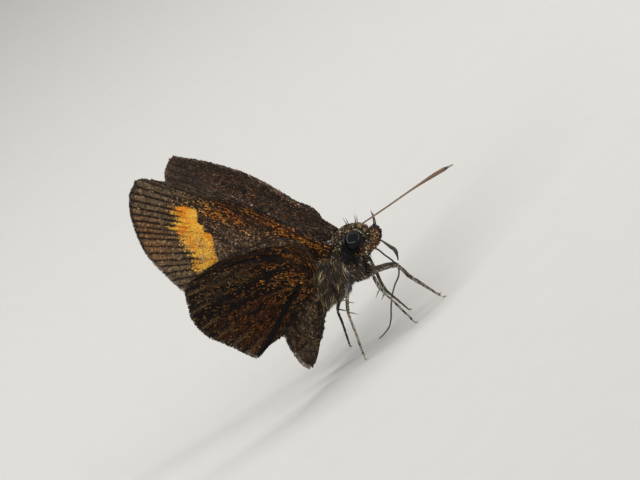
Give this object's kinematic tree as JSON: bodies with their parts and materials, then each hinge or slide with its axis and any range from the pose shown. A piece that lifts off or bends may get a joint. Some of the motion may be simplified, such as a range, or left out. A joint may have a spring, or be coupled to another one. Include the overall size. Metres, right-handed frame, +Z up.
{
  "type": "skipper butterfly model",
  "caption": "Life-size still model of a small brown skipper butterfly with an orange wing patch, standing with its wings held up and its tongue bent back under the body.",
  "frame": {"origin": "on the floor, under the middle of the model's box", "axes": "+X towards the head, +Y towards the insect's left side, +Z up from the floor that the feet stand on"},
  "size_m": [0.0206, 0.0137, 0.019],
  "materials": {
    "wing_brown": "soft brown scales with an orange patch",
    "body_brown": "shaggy grey-brown and olive hair",
    "palp_gold": "golden brown bristly scales with pale tips",
    "eye_black": "glossy black",
    "horn_brown": "brown horn banded with pale scales",
    "tongue_brown": "dark brown, slightly glossy"
  },
  "bodies": {
    "root": {"head": "body_brown", "eye_right": "eye_black", "eye_left": "eye_black", "thorax": "body_brown", "abdomen": "body_brown", "palp_right": "palp_gold", "palp_left": "palp_gold", "proboscis_upper": "tongue_brown", "proboscis_lower": "tongue_brown", "antenna_right": "horn_brown", "antenna_left": "horn_brown", "leg_fore_right": "horn_brown", "leg_fore_left": "horn_brown", "leg_mid_right": "horn_brown", "leg_mid_left": "horn_brown", "leg_hind_right": "horn_brown", "leg_hind_left": "horn_brown", "forewing_right": "wing_brown", "forewing_left": "wing_brown", "hindwing_right": "wing_brown", "hindwing_left": "wing_brown"}
  },
  "joints": []
}
